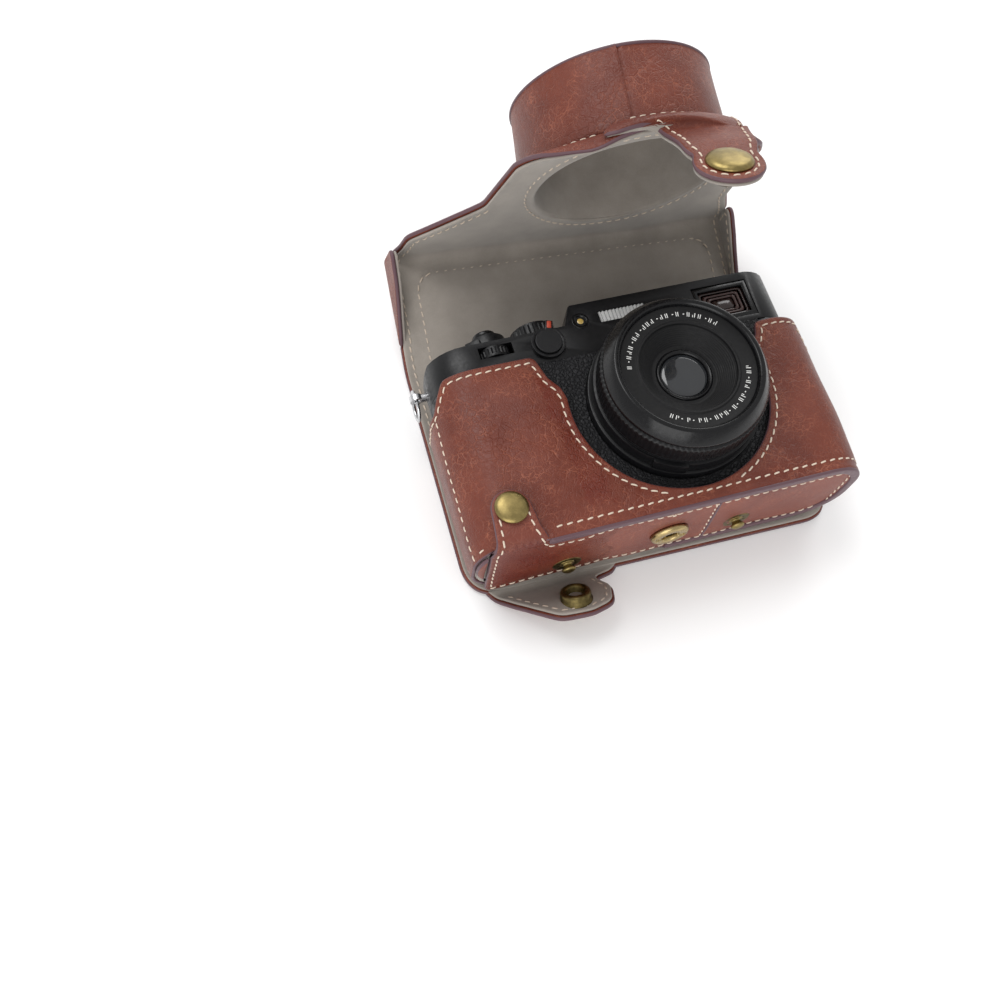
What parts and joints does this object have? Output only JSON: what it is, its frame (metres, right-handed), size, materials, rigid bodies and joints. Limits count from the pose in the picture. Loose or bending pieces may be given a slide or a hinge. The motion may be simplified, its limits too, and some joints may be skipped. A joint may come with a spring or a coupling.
{
  "type": "compact camera in leather case",
  "caption": "Compact rangefinder-style camera with a fixed lens, lying in its open leather ever-ready case with hinged hood, lens cup and snap tabs.",
  "frame": {"origin": "where the lens axis meets the surface that the case lies on", "axes": "+Z along the lens axis, out of the lens; +Y towards the camera's top; +X towards the viewfinder window side"},
  "size_m": [0.1402, 0.1664, 0.1136],
  "materials": {
    "leather": "satin",
    "suede_lining": "matte",
    "antique_brass": "satin",
    "bright_brass": "satin",
    "stiffener": "matte",
    "steel": "satin",
    "black_metal": "satin",
    "leatherette": "matte",
    "black_plastic": "matte",
    "tinted_glass": "gloss",
    "lens_glass": "gloss",
    "amber_lamp": "gloss",
    "flash_lens": "gloss",
    "bare_alloy": "satin",
    "circuit_board": "matte",
    "battery_case": "matte"
  },
  "bodies": {
    "camera_in_case": {"cover_back_panel": "leather", "cover_back_lining": "suede_lining", "case_shell": "leather", "case_lining": "suede_lining", "case_sole": "stiffener", "case_studs": "antique_brass", "top_cover": "black_metal", "base_cover": "black_metal", "front_casing": "black_metal", "rear_cover": "black_metal", "grip_leatherette": "leatherette", "hot_shoe": "steel", "strap_lugs": "steel", "viewfinder_frame": "black_plastic", "viewfinder_glass": "tinted_glass", "eyepiece": "black_plastic", "assist_lamp": "amber_lamp", "flash_unit": "flash_lens", "battery_door": "black_plastic", "rear_screen": "black_plastic", "tripod_bush": "steel", "lens_base_ring": "black_metal", "lens_barrel": "black_metal", "front_ring": "black_metal", "name_ring": "black_metal", "front_glass": "lens_glass", "lens_elements": "lens_glass", "iris_unit": "black_plastic", "chassis": "bare_alloy", "main_board": "circuit_board", "sensor_module": "black_plastic", "battery": "battery_case"},
    "hood": {"hood_top_panel": "leather", "hood_front_panel": "leather", "hood_gussets": "leather", "hood_lining": "suede_lining", "lens_cup_wall": "leather", "lens_cup_end": "leather", "lens_cup_lining": "suede_lining"},
    "hood_tab": {"hood_tab": "leather", "hood_tab_snap": "antique_brass"},
    "cover_flap": {"cover_flap": "leather", "cover_flap_lining": "suede_lining", "cover_flap_snap": "antique_brass"},
    "battery_flap": {"battery_flap": "leather", "battery_flap_cap": "antique_brass", "battery_flap_stud": "antique_brass"},
    "case_screw": {"case_screw": "bright_brass"},
    "aperture_ring": {"aperture_ring": "black_metal"},
    "focus_ring": {"focus_ring": "black_metal"},
    "viewfinder_lever": {"viewfinder_lever": "black_metal"},
    "lever_button": {"lever_button": "black_plastic"},
    "shutter_button": {"shutter_button": "black_metal"},
    "power_lever": {"power_lever": "black_metal"},
    "shutter_dial": {"shutter_dial": "black_metal"},
    "exposure_dial": {"exposure_dial": "black_metal"},
    "front_dial": {"front_dial": "black_plastic"},
    "rear_dial": {"rear_dial": "black_plastic"},
    "strap_ring_left": {"strap_ring_left": "steel"},
    "strap_ring_right": {"strap_ring_right": "steel"}
  },
  "joints": [
    {"name": "hood_fold", "type": "hinge", "parent": "camera_in_case", "child": "hood", "pos_m": [-0.01, 0.0465, 0.0025], "axis": [-0.9988, 0.0305, -0.0393], "range_deg": [-73.5, 8], "deforming": ["hood_lining", "lens_cup_lining"]},
    {"name": "hood_tab_bend", "type": "hinge", "parent": "hood", "child": "hood_tab", "pos_m": [0.01626, 0.05835, 0.09774], "axis": [-0.9785, 0.0456, -0.2012], "range_deg": [-41, 12], "deforming": ["hood_tab", "hood_tab_snap"]},
    {"name": "cover_flap_bend", "type": "hinge", "parent": "camera_in_case", "child": "cover_flap", "pos_m": [-0.0445, -0.041, 0.0018], "axis": [1, 0, 0], "range_deg": [-47, 43]},
    {"name": "battery_flap_bend", "type": "hinge", "parent": "camera_in_case", "child": "battery_flap", "pos_m": [-0.0242, -0.0377, 0.022], "axis": [0, 0, 1], "range_deg": [0, 90], "deforming": ["cover_flap", "cover_flap_lining", "cover_flap_snap"]},
    {"name": "case_screw_turn", "type": "hinge", "parent": "camera_in_case", "child": "case_screw", "pos_m": [-0.01, -0.038, 0.0198], "axis": [0, 1, 0], "continuous": true},
    {"name": "aperture_ring_turn", "type": "hinge", "parent": "camera_in_case", "child": "aperture_ring", "pos_m": [0, 0, 0.045], "axis": [0, 0, 1], "range_deg": [-70, 60]},
    {"name": "focus_ring_turn", "type": "hinge", "parent": "camera_in_case", "child": "focus_ring", "pos_m": [0, 0, 0.052], "axis": [0, 0, 1], "continuous": true},
    {"name": "viewfinder_lever_tilt", "type": "hinge", "parent": "camera_in_case", "child": "viewfinder_lever", "pos_m": [-0.0337, 0.029, 0.04], "axis": [0, 0, 1], "range_deg": [-20, 20], "stiffness_Nm_per_rad": 0.002},
    {"name": "lever_button_press", "type": "slide", "parent": "viewfinder_lever", "child": "lever_button", "axis": [0, 0, -1], "range_m": [0, 0.0003], "stiffness_N_per_m": 200},
    {"name": "shutter_button_press", "type": "slide", "parent": "camera_in_case", "child": "shutter_button", "axis": [0, -1, 0], "range_m": [0, 0.0012], "stiffness_N_per_m": 300},
    {"name": "power_lever_turn", "type": "hinge", "parent": "camera_in_case", "child": "power_lever", "pos_m": [-0.0515, 0.036, 0.03], "axis": [0, 1, 0], "range_deg": [0, 30]},
    {"name": "shutter_dial_turn", "type": "hinge", "parent": "camera_in_case", "child": "shutter_dial", "pos_m": [-0.0342, 0.036, 0.027], "axis": [0, 1, 0], "continuous": true},
    {"name": "exposure_dial_turn", "type": "hinge", "parent": "camera_in_case", "child": "exposure_dial", "pos_m": [-0.06, 0.036, 0.0155], "axis": [0, 1, 0], "range_deg": [-160, 160]},
    {"name": "front_dial_turn", "type": "hinge", "parent": "camera_in_case", "child": "front_dial", "pos_m": [-0.0512, 0.03, 0.0344], "axis": [0, 1, 0], "continuous": true},
    {"name": "rear_dial_turn", "type": "hinge", "parent": "camera_in_case", "child": "rear_dial", "pos_m": [-0.054, 0.029, 0.0109], "axis": [0, 1, 0], "continuous": true},
    {"name": "strap_ring_left_swing", "type": "hinge", "parent": "camera_in_case", "child": "strap_ring_left", "pos_m": [-0.0784, 0.028, 0.022], "axis": [0, 1, 0], "range_deg": [0, 170]},
    {"name": "strap_ring_right_swing", "type": "hinge", "parent": "camera_in_case", "child": "strap_ring_right", "pos_m": [0.0574, 0.028, 0.022], "axis": [0, -1, 0], "range_deg": [0, 170]}
  ],
  "couplings": [
    {"joint": "hood_tab_bend", "follows": "hood_fold", "ratio": 0.55782}
  ]
}
